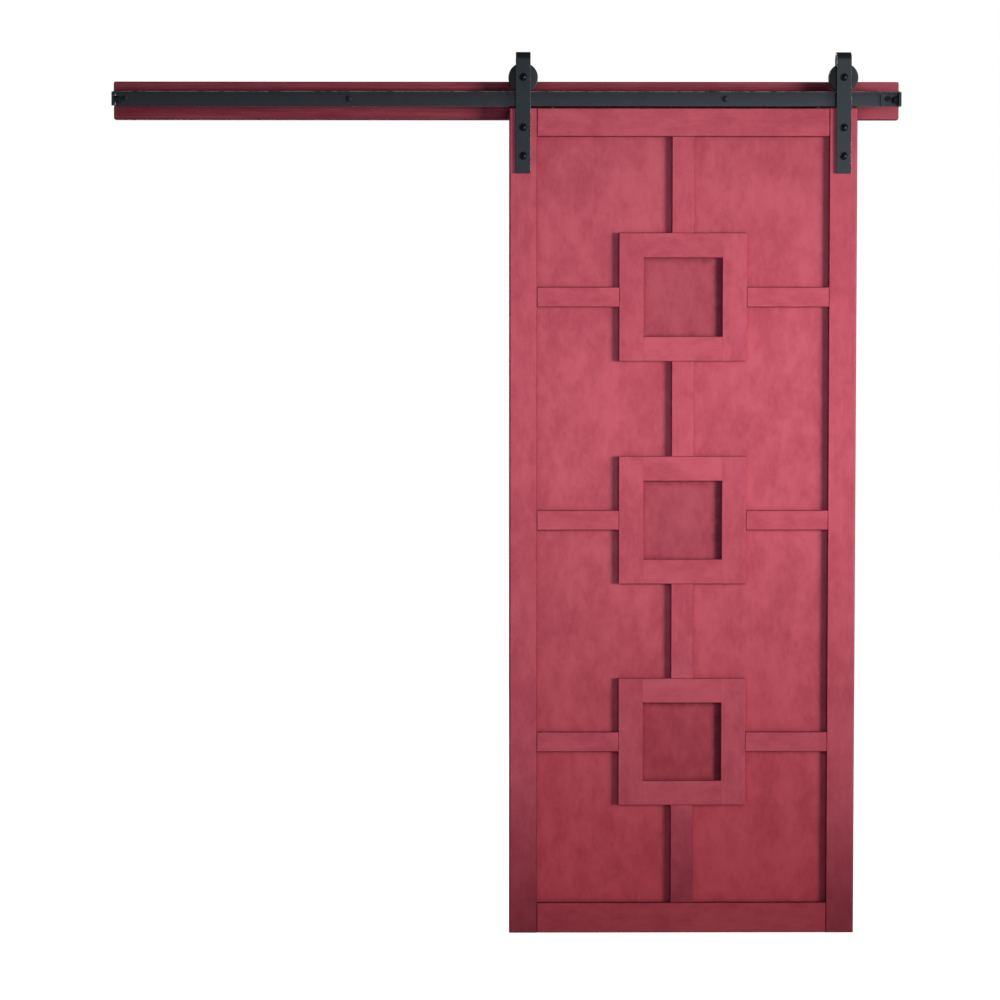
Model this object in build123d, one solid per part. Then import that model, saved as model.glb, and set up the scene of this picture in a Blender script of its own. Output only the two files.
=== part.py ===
from build123d import *
import math
import os

# A sliding barn door: a wooden leaf hung from two wheeled straps on a flat rail, with its header board.
# Millimetres. X runs along the rail to the right, +Y goes into the wall and +Z is up.
# The origin is the centre of the header board's back face, which lies on the wall.

os.makedirs("parts", exist_ok=True)

# Leaf
leaf_width = 896.0
leaf_height = 2134.0
leaf_shift = 454.0  # from the rail's middle to the leaf's middle, at rest
core_thickness = 25.4
board_thickness = 12.7
stile_width = 72.0
top_rail_width = 72.5
bottom_rail_width = 79.0
upright_width = 58.0
cross_width = 51.0
square_size = 330.0
square_member_width = 63.5
square_count = 3
square_pitch = 575.5
first_square_drop = 484.0  # from the leaf's top edge to the first square's centre
board_chamfer = 1.5
leaf_edge_round = 5.0
back_edge_round = 3.0
guide_groove_width = 8.0
guide_groove_depth = 16.0

# Header board
header_length = 2032.0
header_height = 98.0
header_thickness = 19.0
header_corner_round = 5.0
header_edge_round = 3.0

# Rail and what holds it
rail_length = 2024.0
rail_height = 40.0
rail_thickness = 6.0
rail_edge_round = 1.5
spacer_length = 38.0
spacer_radius = 11.0
lag_places = (-405.0, 45.0, 563.0)
end_lag_inset = 32.0  # from the rail's end
lag_radius = 4.0
lag_length_in_wall = 48.0
lag_point_length = 9.0
lag_head_width = 13.0
lag_head_height = 5.3
lag_washer_radius = 8.5
lag_washer_thickness = 1.5
lag_play = 0.5

# End stops
stop_flange_thickness = 6.0
stop_flange_height = 36.0
stop_corner_round = 0.8
stop_drop = 3.0  # below the rail's middle
stop_reach = 26.0  # how far the flange stands forward of the rail
stop_base_length = 50.0
stop_base_height = 28.0
stop_base_thickness = 5.0
stop_bend_radius = 3.0
bumper_radius = 8.0
bumper_thickness = 14.0
bumper_edge_round = 2.0
bumper_screw_radius = 2.0
bumper_screw_depth = 10.0
bumper_screw_head_radius = 4.2
bumper_screw_head_rim = 0.4

# Hangers
hanger_inset = 36.0  # from the leaf's side edge to the strap's middle
strap_width = 38.0
strap_thickness = 6.0
strap_rise = 66.0  # from the axle to the top of the bend
strap_drop = 167.5  # from the leaf's top edge to the strap's end
strap_corner_round = 3.0
strap_edge_chamfer = 0.7
leg_clearance = 5.0  # between the wheel's side and each leg
back_leg_drop = 20.0  # from the axle to the back leg's end
leaf_drop = 5.0  # from the rail's lower edge to the leaf's top edge
hanger_bolt_drops = (49.5, 122.5)  # from the leaf's top edge
bolt_radius = 4.95
bolt_play = 0.25
bolt_end_chamfer = 0.8
bolt_head_radius = 9.8
bolt_head_height = 5.0
bolt_head_edge = 1.2
nut_width = 17.0
nut_height = 8.0
washer_thickness = 2.0
axle_washer_radius = 10.0
hanger_washer_radius = 12.5
bolt_end_reach = 1.0  # past the nut

# Wheels and their ball bearings
wheel_width = 20.0
rolling_radius = 33.5
flange_height = 4.5
groove_width = 8.0
groove_mouth_width = 13.0
wheel_chamfer = 1.0
wheel_hub_radius = 17.0
wheel_hub_rise = 1.0
rolling_gap = 0.3
bearing_bore_radius = 5.0
bearing_radius = 15.0
bearing_width = 9.0
bearing_seat_gap = 0.03
bearing_lip = 1.5
ball_radius = 2.4
ball_count = 7
ball_gap = 0.2
raceway_shoulder = 2.0  # from the balls' circle to each ring's edge
sleeve_wall = 2.0

# Anti-jump discs
jump_disc_radius = 14.0
jump_disc_thickness = 3.0
jump_disc_inset = 70.0  # from the strap's middle, towards the leaf's middle
jump_screw_radius = 2.25
jump_screw_length = 28.0
jump_screw_head_radius = 4.5
jump_screw_point = 4.0
screw_play = 0.1

# Places worked out from the sizes
rail_back = -header_thickness - spacer_length
rail_front = rail_back - rail_thickness
rail_middle = (rail_back + rail_front) / 2
rail_top = rail_height / 2
rail_end = rail_length / 2
wheel_radius = rolling_radius + flange_height
axle_height = rail_top + rolling_radius + rolling_gap
leg_gap = wheel_width / 2 + leg_clearance  # from the wheel's middle plane to each leg
leaf_front = rail_middle - leg_gap
board_back = leaf_front + board_thickness
leaf_back = board_back + core_thickness
core_middle = (board_back + leaf_back) / 2
strap_front = leaf_front - strap_thickness
leaf_top = -rail_height / 2 - leaf_drop
leaf_bottom = leaf_top - leaf_height
leaf_left = leaf_shift - leaf_width / 2
leaf_right = leaf_shift + leaf_width / 2
hanger_places = {"left": leaf_left + hanger_inset, "right": leaf_right - hanger_inset}
inward = {"left": 1, "right": -1}
end_lag_place = rail_end - end_lag_inset
balls_circle = (bearing_bore_radius + bearing_radius) / 2
square_centres = [leaf_top - first_square_drop - n * square_pitch for n in range(square_count)]


def slab(x_low, x_high, y_low, y_high, z_low, z_high):
    """A plain block between two opposite corners."""
    block = Box(x_high - x_low, y_high - y_low, z_high - z_low, align=(Align.MIN,) * 3)
    return Pos(x_low, y_low, z_low) * block


def rod(x, z, y_low, y_high, radius):
    """A round bar along Y."""
    bar = Rot(90, 0, 0) * Cylinder(radius, y_high - y_low)
    return Pos(x, (y_low + y_high) / 2, z) * bar


def tube(x, z, y_low, y_high, radius, bore):
    """A round tube along Y."""
    return rod(x, z, y_low, y_high, radius) - rod(x, z, y_low, y_high, bore)


def turned(outline, axis):
    """A solid turned from an outline of (radius, place along the axis) pairs."""
    corners = {
        "x": [(along, radius, 0) for radius, along in outline],
        "y": [(radius, along, 0) for radius, along in outline],
        "z": [(radius, 0, along) for radius, along in outline],
    }[axis]
    spin = {"x": Axis.X, "y": Axis.Y, "z": Axis.Z}[axis]
    return revolve(make_face(Polyline(*corners, close=True)), spin, 360)


def front_face(solid):
    """The face nearest the viewer."""
    return solid.faces().sort_by(Axis.Y)[0]


def board(x_low, x_high, z_low, z_high):
    """A face board of the leaf, with its front edges chamfered."""
    blank = slab(x_low, x_high, leaf_front, board_back, z_low, z_high)
    return chamfer(front_face(blank).edges(), board_chamfer)


def hex_prism(x, z, y_low, y_high, across_flats, end_chamfer):
    """A hexagonal bar along Y, with its corners turned off at both ends."""
    at = Plane(origin=(x, y_low, z), x_dir=(1, 0, 0), z_dir=(0, 1, 0))
    bar = extrude(at * RegularPolygon(across_flats / 2, 6, major_radius=False), y_high - y_low)
    corner_radius = across_flats / math.sqrt(3)
    blank = rod(x, z, y_low, y_high, corner_radius)
    ends = blank.edges().filter_by(GeomType.CIRCLE)
    return bar & chamfer(ends, end_chamfer)


def domed_bolt(x, z, seat, end):
    """A bolt along Y with a smooth domed head, whose underside lies at seat."""
    rim = seat - bolt_head_edge
    dome = TangentArc((0, seat - bolt_head_height), (bolt_head_radius, rim), tangent=(1, 0))
    rest = Polyline(
        (bolt_head_radius, rim),
        (bolt_head_radius, seat),
        (bolt_radius, seat),
        (bolt_radius, end - bolt_end_chamfer),
        (bolt_radius - bolt_end_chamfer, end),
        (0, end),
        (0, seat - bolt_head_height),
    )
    return Pos(x, 0, z) * revolve(make_face(dome + rest), Axis.Y, 360)


def hex_nut(x, z, seat):
    """A nut along Y, from its seat towards the wall."""
    blank = hex_prism(x, z, seat, seat + nut_height, nut_width, bolt_end_chamfer)
    return blank - rod(x, z, seat, seat + nut_height, bolt_radius + bolt_play)


def washer(x, z, seat, thickness, radius, bore):
    """A flat washer along Y, from its seat towards the wall."""
    return tube(x, z, seat, seat + thickness, radius, bore)


def make_core_panel():
    """The leaf's core, with the bolts' and screws' holes and the groove for a floor guide."""
    core = slab(leaf_left, leaf_right, board_back, leaf_back, leaf_bottom, leaf_top)
    core = fillet(core.faces().sort_by(Axis.Y)[-1].edges(), back_edge_round)
    groove_half = guide_groove_width / 2
    core -= slab(
        leaf_left,
        leaf_right,
        core_middle - groove_half,
        core_middle + groove_half,
        leaf_bottom,
        leaf_bottom + guide_groove_depth,
    )
    for x, z in hanger_bolt_places():
        core -= rod(x, z, board_back, leaf_back, bolt_radius + bolt_play)
    for x in jump_disc_places():
        core -= jump_screw_hole(x)
    return core


def make_stile(side):
    """A full-height side board, rounded along the leaf's edge and chamfered along the other edges."""
    x_low = leaf_left if side == "left" else leaf_right - stile_width
    blank = slab(x_low, x_low + stile_width, leaf_front, board_back, leaf_bottom, leaf_top)
    edges = front_face(blank).edges()
    along_leaf_edge = edges.sort_by(Axis.X)[0 if side == "left" else -1]
    stile = fillet(along_leaf_edge, leaf_edge_round)
    inner_edge = front_face(stile).edges().sort_by(Axis.X)[-1 if side == "left" else 0]
    stile = chamfer(inner_edge, board_chamfer)
    for drop in hanger_bolt_drops:
        hole = rod(hanger_places[side], leaf_top - drop, leaf_front, board_back, bolt_radius + bolt_play)
        stile -= hole
    return stile


def make_leaf_rails():
    """The top and bottom rails, between the stiles."""
    x_low = leaf_left + stile_width
    x_high = leaf_right - stile_width
    top = board(x_low, x_high, leaf_top - top_rail_width, leaf_top)
    bottom = board(x_low, x_high, leaf_bottom, leaf_bottom + bottom_rail_width)
    return {"top_rail": top, "bottom_rail": bottom}


def make_square(number, centre):
    """A square frame, chamfered round its outside and its opening, as its four flush members."""
    half = square_size / 2
    hole_half = half - square_member_width
    left, right = leaf_shift - half, leaf_shift + half
    low, high = centre - half, centre + half
    frame = slab(left, right, leaf_front, board_back, low, high)
    frame -= slab(
        leaf_shift - hole_half,
        leaf_shift + hole_half,
        leaf_front,
        board_back,
        centre - hole_half,
        centre + hole_half,
    )
    frame = chamfer(front_face(frame).edges(), board_chamfer)
    deep = (leaf_front, board_back)
    inner_left, inner_right = left + square_member_width, right - square_member_width
    return {
        f"square_{number}_left": frame & slab(left, inner_left, *deep, low, high),
        f"square_{number}_right": frame & slab(inner_right, right, *deep, low, high),
        f"square_{number}_top": frame & slab(inner_left, inner_right, *deep, centre + hole_half, high),
        f"square_{number}_bottom": frame & slab(inner_left, inner_right, *deep, low, centre - hole_half),
    }


def make_upright_battens():
    """The short upright battens that join the squares to each other and to the rails."""
    half = square_size / 2
    highs = [leaf_top - top_rail_width] + [centre - half for centre in square_centres]
    lows = [centre + half for centre in square_centres] + [leaf_bottom + bottom_rail_width]
    x_low, x_high = leaf_shift - upright_width / 2, leaf_shift + upright_width / 2
    return {
        f"upright_batten_{n}": board(x_low, x_high, low, high)
        for n, (low, high) in enumerate(zip(lows, highs), 1)
    }


def make_cross_battens():
    """The level battens that join each square to the stiles."""
    reach = {
        "left": (leaf_left + stile_width, leaf_shift - square_size / 2),
        "right": (leaf_shift + square_size / 2, leaf_right - stile_width),
    }
    return {
        f"cross_batten_{n}_{side}": board(*reach[side], centre - cross_width / 2, centre + cross_width / 2)
        for n, centre in enumerate(square_centres, 1)
        for side in reach
    }


def lag_xs():
    """Where the lag bolts stand along the rail."""
    return [-end_lag_place, *lag_places, end_lag_place]


def make_header_board():
    """The board on the wall behind the rail, bored for the lag bolts."""
    half_length, half_height = header_length / 2, header_height / 2
    header = slab(-half_length, half_length, -header_thickness, 0, -half_height, half_height)
    header = fillet(header.edges().filter_by(Axis.Y), header_corner_round)
    header = fillet(front_face(header).edges(), header_edge_round)
    for x in lag_xs():
        header -= rod(x, 0, -header_thickness, 0, lag_radius + lag_play)
    return header


def make_track_rail():
    """The flat bar that the wheels roll on."""
    rail = slab(-rail_end, rail_end, rail_front, rail_back, -rail_height / 2, rail_top)
    rail = fillet(rail.edges().filter_by(Axis.X), rail_edge_round)
    for x in lag_xs():
        rail -= rod(x, 0, rail_front, rail_back, lag_radius + lag_play)
    return rail


def make_rail_spacers():
    """The tubes that hold the rail off the header board."""
    return [
        tube(x, 0, rail_back, -header_thickness, spacer_radius, lag_radius + lag_play) for x in lag_xs()
    ]


def lag_seat(x):
    """Where a lag bolt's head bears: on its washer, or on the end stop's base."""
    if abs(x) < end_lag_place:
        return rail_front - lag_washer_thickness
    return rail_front - stop_base_thickness


def make_lag_bolts():
    """Hex-headed lag bolts, from their heads through everything and into the wall."""
    bolts = []
    for x in lag_xs():
        seat = lag_seat(x)
        head = hex_prism(x, 0, seat - lag_head_height, seat, lag_head_width, bolt_end_chamfer)
        point = lag_length_in_wall
        shank = turned(
            [(0, seat), (lag_radius, seat), (lag_radius, point - lag_point_length), (0, point)], "y"
        )
        bolts.append(head + Pos(x, 0, 0) * shank)
    return bolts


def make_lag_washers():
    """The washers under the lag bolts' heads, between the end stops."""
    return [
        washer(x, 0, lag_seat(x), lag_washer_thickness, lag_washer_radius, lag_radius + lag_play)
        for x in lag_places
    ]


def bumper_middle():
    """How far forward the bumper's middle stands, clear of the bracket's fold."""
    return rail_front - stop_base_thickness - stop_bend_radius - bumper_radius


def countersink_foot():
    """Where the right bumper screw's conical head meets its shank, along the rail."""
    return rail_end - bumper_screw_head_rim - (bumper_screw_head_radius - bumper_screw_radius)


def make_stop_bracket(side):
    """An end stop folded from strip: a base on the rail and a flange that stands forward."""
    out = -inward[side]
    ends = sorted((out * rail_end, out * (rail_end - stop_flange_thickness)))
    flange = slab(*ends, rail_front - stop_reach, rail_front, -stop_flange_height / 2, stop_flange_height / 2)
    corners = flange.edges().filter_by(Axis.X).group_by(Axis.Y)[0]
    flange = fillet(corners, stop_corner_round)
    base_ends = sorted((out * rail_end, out * (rail_end - stop_base_length)))
    base_half = stop_base_height / 2
    base = slab(*base_ends, rail_front - stop_base_thickness, rail_front, -base_half, base_half)
    bracket = flange + base
    fold_x = out * (rail_end - stop_flange_thickness)
    fold = [
        edge
        for edge in bracket.edges().filter_by(Axis.Z)
        if abs(edge.center().X - fold_x) < 0.01
        and abs(edge.center().Y - rail_front + stop_base_thickness) < 0.01
    ]
    bracket = Pos(0, 0, -stop_drop) * fillet(fold, stop_bend_radius)
    bracket -= rod(out * end_lag_place, 0, lag_seat(rail_end), rail_front, lag_radius + lag_play)
    screw_hole = turned(
        [
            (0, rail_end + stop_flange_thickness),
            (bumper_screw_head_radius, rail_end + stop_flange_thickness),
            (bumper_screw_head_radius, rail_end - bumper_screw_head_rim),
            (bumper_screw_radius, countersink_foot()),
            (bumper_screw_radius + screw_play, countersink_foot()),
            (bumper_screw_radius + screw_play, rail_end - 2 * stop_flange_thickness),
            (0, rail_end - 2 * stop_flange_thickness),
        ],
        "x",
    )
    screw_hole = Pos(0, bumper_middle(), -stop_drop) * screw_hole
    return bracket - (screw_hole if side == "right" else mirror(screw_hole, Plane.YZ))


def make_stop_bumper(side):
    """A round rubber bumper on the flange's inner face, with a blind hole for its screw."""
    base = rail_end - stop_flange_thickness
    tip = base - bumper_thickness
    depth = base - bumper_screw_depth
    bore = bumper_screw_radius + screw_play
    round_off = bumper_edge_round
    bumper = turned(
        [
            (bore, base),
            (bumper_radius, base),
            (bumper_radius, tip + round_off),
            (bumper_radius - round_off, tip),
            (0, tip),
            (0, depth),
            (bore, depth),
        ],
        "x",
    )
    placed = Pos(0, bumper_middle(), -stop_drop) * bumper
    return placed if side == "right" else mirror(placed, Plane.YZ)


def make_bumper_screws():
    """The countersunk screws that hold the bumpers, flush in the flanges' outer faces."""
    end = rail_end - stop_flange_thickness - bumper_screw_depth + screw_play
    screw = turned(
        [
            (0, rail_end),
            (bumper_screw_head_radius, rail_end),
            (bumper_screw_head_radius, rail_end - bumper_screw_head_rim),
            (bumper_screw_radius, countersink_foot()),
            (bumper_screw_radius, end),
            (0, end),
        ],
        "x",
    )
    placed = Pos(0, bumper_middle(), -stop_drop) * screw
    return [placed, mirror(placed, Plane.YZ)]


def make_hanger_strap(side):
    """One flat bar bent over the wheel: a long leg down the leaf's face and a short leg behind."""
    outer_radius = leg_gap + strap_thickness
    bend_height = axle_height + strap_rise - outer_radius
    x = hanger_places[side]
    section = Plane(origin=(x, 0, 0), x_dir=(0, 1, 0), z_dir=(1, 0, 0))
    bend = Circle(outer_radius) - Circle(leg_gap)
    bend -= Pos(0, -outer_radius) * Rectangle(2 * outer_radius, 2 * outer_radius)
    long_leg = bend_height - (leaf_top - strap_drop)
    short_leg = bend_height - (axle_height - back_leg_drop)
    middle = leg_gap + strap_thickness / 2
    side_view = Pos(rail_middle, bend_height) * bend
    side_view += Pos(rail_middle - middle, bend_height - long_leg / 2) * Rectangle(strap_thickness, long_leg)
    side_view += Pos(rail_middle + middle, bend_height - short_leg / 2) * Rectangle(strap_thickness, short_leg)
    strap = extrude(section * side_view, strap_width / 2, both=True)
    strap = fillet(strap.edges().filter_by(Axis.Y), strap_corner_round)
    strap = chamfer(front_face(strap).edges(), strap_edge_chamfer)
    bore = bolt_radius + bolt_play
    strap -= rod(x, axle_height, strap_front, rail_middle + outer_radius, bore)
    for drop in hanger_bolt_drops:
        strap -= rod(x, leaf_top - drop, strap_front, leaf_front, bore)
    return strap


def hanger_bolt_places():
    """Where the bolts pass through the straps and the leaf."""
    return [(x, leaf_top - drop) for x in hanger_places.values() for drop in hanger_bolt_drops]


def make_hanger_fasteners():
    """The bolts through straps and leaf, with a washer and a nut behind each."""
    nut_seat = leaf_back + washer_thickness
    end = nut_seat + nut_height + bolt_end_reach
    bore = bolt_radius + bolt_play
    places = hanger_bolt_places()
    return {
        "hanger_bolts": [domed_bolt(x, z, strap_front, end) for x, z in places],
        "hanger_washers": [
            washer(x, z, leaf_back, washer_thickness, hanger_washer_radius, bore) for x, z in places
        ],
        "hanger_nuts": [hex_nut(x, z, nut_seat) for x, z in places],
    }


def make_axle_fasteners():
    """The axle bolts through both legs of each strap, with sleeves that centre the bearing."""
    leg_back = rail_middle + leg_gap + strap_thickness
    nut_seat = leg_back + washer_thickness
    end = nut_seat + nut_height + bolt_end_reach
    bore = bolt_radius + bolt_play
    sleeve_length = leg_gap - bearing_width / 2
    front_sleeve = rail_middle - leg_gap
    back_sleeve = rail_middle + bearing_width / 2
    xs = hanger_places.values()
    return {
        "axle_bolts": [domed_bolt(x, axle_height, strap_front, end) for x in xs],
        "axle_washers": [
            washer(x, axle_height, leg_back, washer_thickness, axle_washer_radius, bore) for x in xs
        ],
        "axle_nuts": [hex_nut(x, axle_height, nut_seat) for x in xs],
        "axle_sleeves": [
            tube(x, axle_height, start, start + sleeve_length, bore + sleeve_wall, bore)
            for x in xs
            for start in (front_sleeve, back_sleeve)
        ],
    }


def raceway():
    """The round groove that the balls run in, about the Y axis."""
    return Rot(90, 0, 0) * Torus(balls_circle, ball_radius + ball_gap)


def bearing_ring(radius, bore, seat_gap):
    """A bearing ring about the Y axis, with its raceway cut."""
    half = bearing_width / 2
    return tube(0, 0, -half, half, radius - seat_gap, bore) - raceway()


def at_wheel(side, solid):
    """Moves a piece from the origin to a wheel's centre."""
    return Pos(hanger_places[side], rail_middle, axle_height) * solid


def make_inner_rings():
    """The bearings' inner rings, held between the sleeves."""
    ring = bearing_ring(balls_circle - raceway_shoulder, bearing_bore_radius, 0)
    return [at_wheel(side, ring) for side in hanger_places]


def make_outer_ring(side):
    """A bearing's outer ring, seated in the wheel against its lip."""
    return at_wheel(side, bearing_ring(bearing_radius, balls_circle + raceway_shoulder, bearing_seat_gap))


def make_balls(side):
    """The balls between a bearing's rings."""
    turn = 360 / ball_count
    ball = Pos(balls_circle, 0, 0) * Sphere(ball_radius)
    return [at_wheel(side, Rot(0, n * turn, 0) * ball) for n in range(ball_count)]


def make_wheel(side):
    """A wheel turned with a groove that straddles the rail, raised hubs and a bearing seat."""
    half = wheel_width / 2
    flat = half - wheel_hub_rise
    lip = bearing_radius - bearing_lip
    seat = -bearing_width / 2
    outline = [
        (lip, -half),
        (wheel_hub_radius, -half),
        (wheel_hub_radius + wheel_hub_rise, -flat),
        (wheel_radius - wheel_chamfer, -flat),
        (wheel_radius, wheel_chamfer - flat),
        (wheel_radius, -groove_mouth_width / 2),
        (rolling_radius, -groove_width / 2),
        (rolling_radius, groove_width / 2),
        (wheel_radius, groove_mouth_width / 2),
        (wheel_radius, flat - wheel_chamfer),
        (wheel_radius - wheel_chamfer, flat),
        (wheel_hub_radius + wheel_hub_rise, flat),
        (wheel_hub_radius, half),
        (bearing_radius, half),
        (bearing_radius, seat),
        (lip, seat),
    ]
    return at_wheel(side, turned(outline, "y"))


def jump_disc_places():
    """Where the anti-jump discs lie along the leaf's top edge."""
    return [hanger_places[side] + inward[side] * jump_disc_inset for side in hanger_places]


def jump_screw(x, play):
    """A countersunk wood screw down into the leaf's top edge, or its hole when given some play."""
    top = jump_disc_thickness + play
    cone = jump_screw_head_radius - jump_screw_radius
    radius = jump_screw_radius + play
    end = top - jump_screw_length - 2 * play
    outline = [
        (0, top),
        (jump_screw_head_radius + play, top),
        (radius, top - cone),
        (radius, end + jump_screw_point),
        (0, end),
    ]
    return Pos(x, (leaf_front + leaf_back) / 2, leaf_top) * turned(outline, "z")


def jump_screw_hole(x):
    """The hole that an anti-jump disc's screw stands in."""
    return jump_screw(x, screw_play)


def make_jump_discs():
    """The discs that keep the wheels from lifting off the rail."""
    middle = (leaf_front + leaf_back) / 2
    disc = Pos(0, 0, jump_disc_thickness / 2) * Cylinder(jump_disc_radius, jump_disc_thickness)
    return [Pos(x, middle, leaf_top) * disc - jump_screw_hole(x) for x in jump_disc_places()]


def all_nodes():
    """Every sub-part by its node's name."""
    nodes = {"core_panel": make_core_panel()}
    nodes.update(make_leaf_rails())
    for number, centre in enumerate(square_centres, 1):
        nodes.update(make_square(number, centre))
    nodes.update(make_upright_battens())
    nodes.update(make_cross_battens())
    nodes["header_board"] = make_header_board()
    nodes["track_rail"] = make_track_rail()
    nodes["rail_spacers"] = make_rail_spacers()
    nodes["lag_bolts"] = make_lag_bolts()
    nodes["lag_washers"] = make_lag_washers()
    nodes["bumper_screws"] = make_bumper_screws()
    nodes.update(make_hanger_fasteners())
    nodes.update(make_axle_fasteners())
    nodes["bearing_inner_rings"] = make_inner_rings()
    nodes["anti_jump_discs"] = make_jump_discs()
    nodes["anti_jump_screws"] = [jump_screw(x, 0) for x in jump_disc_places()]
    for side in hanger_places:
        nodes[f"{side}_stile"] = make_stile(side)
        nodes[f"{side}_stop_bracket"] = make_stop_bracket(side)
        nodes[f"{side}_stop_bumper"] = make_stop_bumper(side)
        nodes[f"{side}_hanger_strap"] = make_hanger_strap(side)
        nodes[f"{side}_wheel"] = make_wheel(side)
        nodes[f"{side}_bearing_outer_ring"] = make_outer_ring(side)
        nodes[f"{side}_bearing_balls"] = make_balls(side)
    return nodes


for name, shape in all_nodes().items():
    solids = shape if isinstance(shape, list) else [shape]
    export_step(Compound(children=[solid.solid() for solid in solids]), f"parts/{name}.step")
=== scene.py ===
"""The looks of a sliding barn door: a stained leaf on strap hangers, its flat rail and its header board."""

import logging
import math
from collections.abc import Callable, Sequence
from dataclasses import dataclass, replace
from enum import Enum

import bmesh
import bpy
from mathutils import Matrix, Vector


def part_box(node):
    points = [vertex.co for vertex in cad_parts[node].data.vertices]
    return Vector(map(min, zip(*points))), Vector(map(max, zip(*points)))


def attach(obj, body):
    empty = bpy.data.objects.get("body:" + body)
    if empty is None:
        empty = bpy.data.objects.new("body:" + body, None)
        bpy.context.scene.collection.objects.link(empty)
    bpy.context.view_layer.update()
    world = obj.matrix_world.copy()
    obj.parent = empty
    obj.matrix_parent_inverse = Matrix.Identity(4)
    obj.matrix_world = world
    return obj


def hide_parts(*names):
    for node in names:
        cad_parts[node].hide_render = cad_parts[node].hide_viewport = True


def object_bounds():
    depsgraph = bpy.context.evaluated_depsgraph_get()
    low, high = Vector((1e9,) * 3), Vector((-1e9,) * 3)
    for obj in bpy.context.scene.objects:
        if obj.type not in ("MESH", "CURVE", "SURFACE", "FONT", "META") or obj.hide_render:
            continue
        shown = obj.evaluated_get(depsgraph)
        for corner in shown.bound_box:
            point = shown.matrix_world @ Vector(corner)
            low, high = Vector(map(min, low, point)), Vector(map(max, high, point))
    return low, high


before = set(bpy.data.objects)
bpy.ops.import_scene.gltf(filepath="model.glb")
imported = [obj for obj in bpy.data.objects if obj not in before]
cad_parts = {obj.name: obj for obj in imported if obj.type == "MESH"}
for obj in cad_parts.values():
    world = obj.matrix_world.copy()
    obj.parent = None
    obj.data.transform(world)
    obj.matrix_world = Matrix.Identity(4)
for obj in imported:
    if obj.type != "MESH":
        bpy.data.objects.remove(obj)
cad_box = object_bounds()

log = logging.getLogger("barn_door")

Item = bpy.types.Object
Node = bpy.types.Node
Socket = bpy.types.NodeSocket
Outputs = bpy.types.bpy_prop_collection
Span = tuple[float, float]
Triple = tuple[float, float, float]
Colour = tuple[float, float, float, float]
Outline = list[Span]

MM = 0.001
QUARTER = math.pi / 2
ROUND_SEGMENTS = 64
FINE_SEGMENTS = 96
SMOOTH_ANGLE = math.radians(35)
STILL: Triple = (0.0, 0.0, 0.0)
SIDES = ("left", "right")
MIDDLE_BOLT_X = 45.0 * MM


class Grain(Enum):
    """Which way the wood's grain runs on a piece."""

    UPRIGHT = "upright"
    LEVEL = "level"


class Axis(Enum):
    """The way a round piece points, as the turn that brings the Z axis to it."""

    INTO_WALL = (-QUARTER, "X")
    TO_THE_RIGHT = (QUARTER, "Y")
    TO_THE_LEFT = (-QUARTER, "Y")


@dataclass(frozen=True)
class Block:
    """A box, such as the one that a CAD node fills at rest, in metres."""

    low: Vector
    high: Vector

    @staticmethod
    def of(node: str) -> "Block":
        """The box of a named node."""
        low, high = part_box(node)
        return Block(Vector(low), Vector(high))

    @property
    def centre(self) -> Vector:
        """The box's middle."""
        return (self.low + self.high) / 2

    @property
    def size(self) -> Vector:
        """The box's three lengths."""
        return self.high - self.low


# Mesh tools


def pick(*pieces: Item) -> None:
    """Selects the given pieces alone, so that the next operator leaves all others as they are.

    Args:
        pieces: the pieces, of which the first is made active; with none, nothing is selected.
    """
    if bpy.context.object and bpy.context.object.mode != "OBJECT":
        bpy.ops.object.mode_set(mode="OBJECT")
    bpy.ops.object.select_all(action="DESELECT")
    for piece in pieces:
        piece.select_set(True)
    if pieces:
        bpy.context.view_layer.objects.active = pieces[0]


def select_parts(piece: Item, kind: str, wanted: Callable[[object], bool]) -> None:
    """Selects faces or edges in edit mode by their place or direction.

    Args:
        piece: the object in edit mode.
        kind: FACE or EDGE.
        wanted: says whether a face or an edge is selected.
    """
    bpy.ops.mesh.select_mode(type=kind)
    mesh = bmesh.from_edit_mesh(piece.data)
    for part in mesh.faces if kind == "FACE" else mesh.edges:
        part.select_set(bool(wanted(part)))
    mesh.select_flush_mode()
    bmesh.update_edit_mesh(piece.data)


def clean_up(piece: Item, doubles: float = 1e-6) -> None:
    """Merges doubled points, turns the faces outwards and smooths the gentle angles.

    Args:
        piece: the object to clean.
        doubles: points nearer than this are merged.
    """
    pick(piece)
    bpy.ops.object.mode_set(mode="EDIT")
    bpy.ops.mesh.select_all(action="SELECT")
    bpy.ops.mesh.remove_doubles(threshold=doubles)
    bpy.ops.mesh.normals_make_consistent(inside=False)
    bpy.ops.object.mode_set(mode="OBJECT")
    bpy.ops.object.shade_smooth_by_angle(angle=SMOOTH_ANGLE)


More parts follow.
